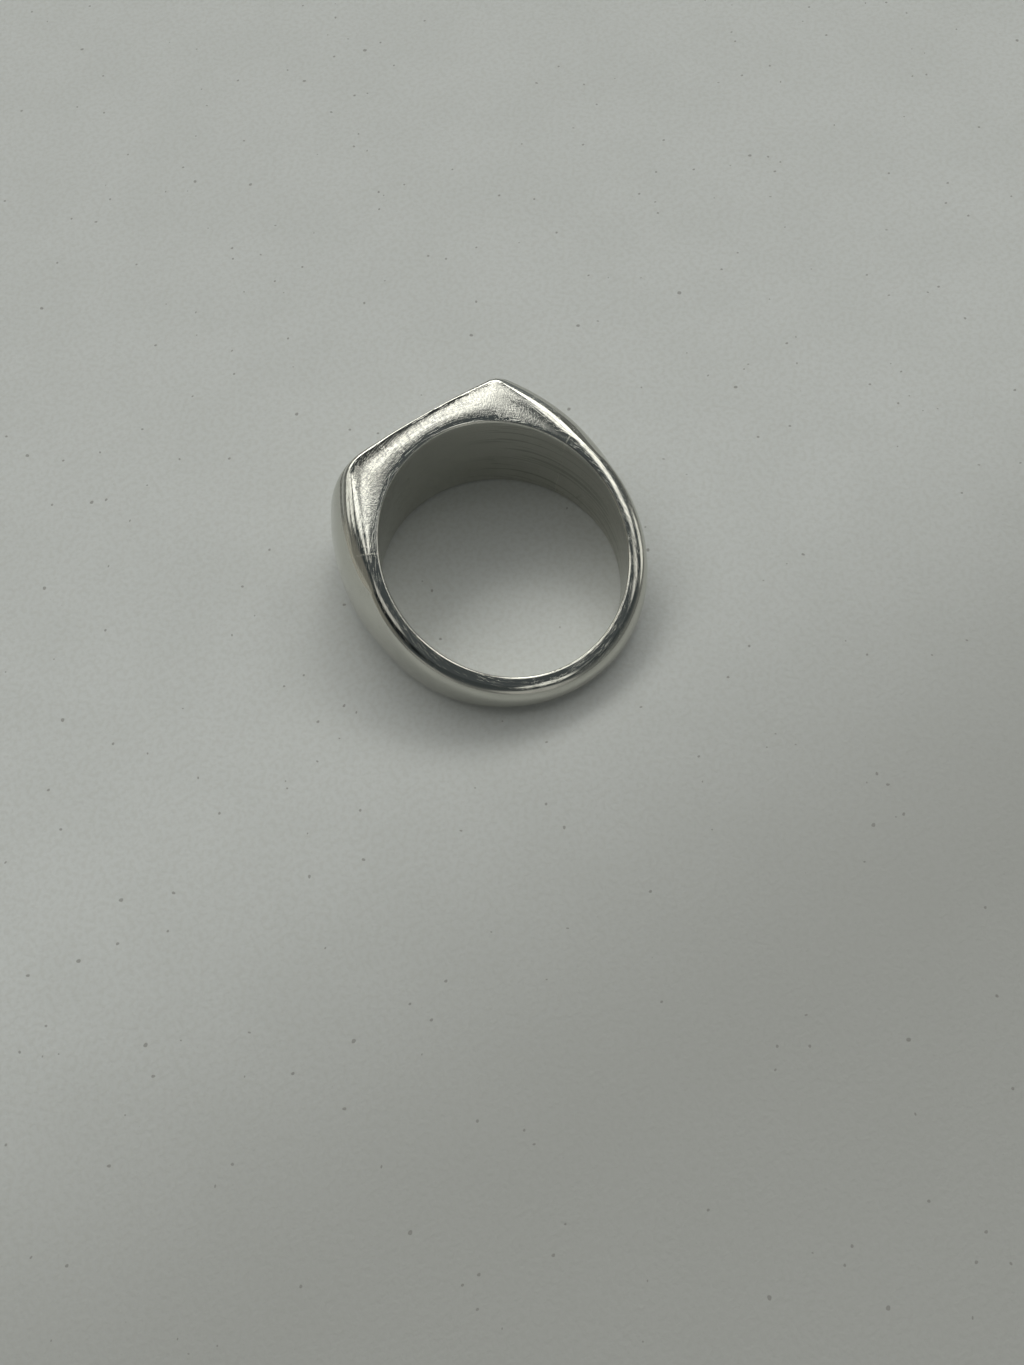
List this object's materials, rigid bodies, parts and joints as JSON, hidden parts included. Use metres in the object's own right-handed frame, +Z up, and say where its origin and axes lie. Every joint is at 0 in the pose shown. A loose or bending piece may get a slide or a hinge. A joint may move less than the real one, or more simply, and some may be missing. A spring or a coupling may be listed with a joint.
{
  "type": "signet ring",
  "caption": "Plain polished silver signet ring with a flat cushion-shaped face and a tapered D-section shank, lying on its side.",
  "frame": {"origin": "bottom centre of the ring's box: the middle of its length and breadth, on the plane that it lies on", "axes": "+Y in plan towards the signet face, +X across the finger hole, +Z up. The finger hole's axis leans 11.31 degrees from +Z towards -Y, because the ring lies on a tapered side wall"},
  "size_m": [0.0234, 0.0242, 0.0117],
  "materials": {
    "head_silver": "polished sterling silver with fine handling scratches",
    "shank_silver": "polished sterling silver, worn smooth",
    "solder": "silver solder, filed flush and polished over"
  },
  "bodies": {
    "root": {"signet_head": "head_silver", "shank": "shank_silver", "solder_joint_left": "solder", "solder_joint_right": "solder"}
  },
  "joints": []
}
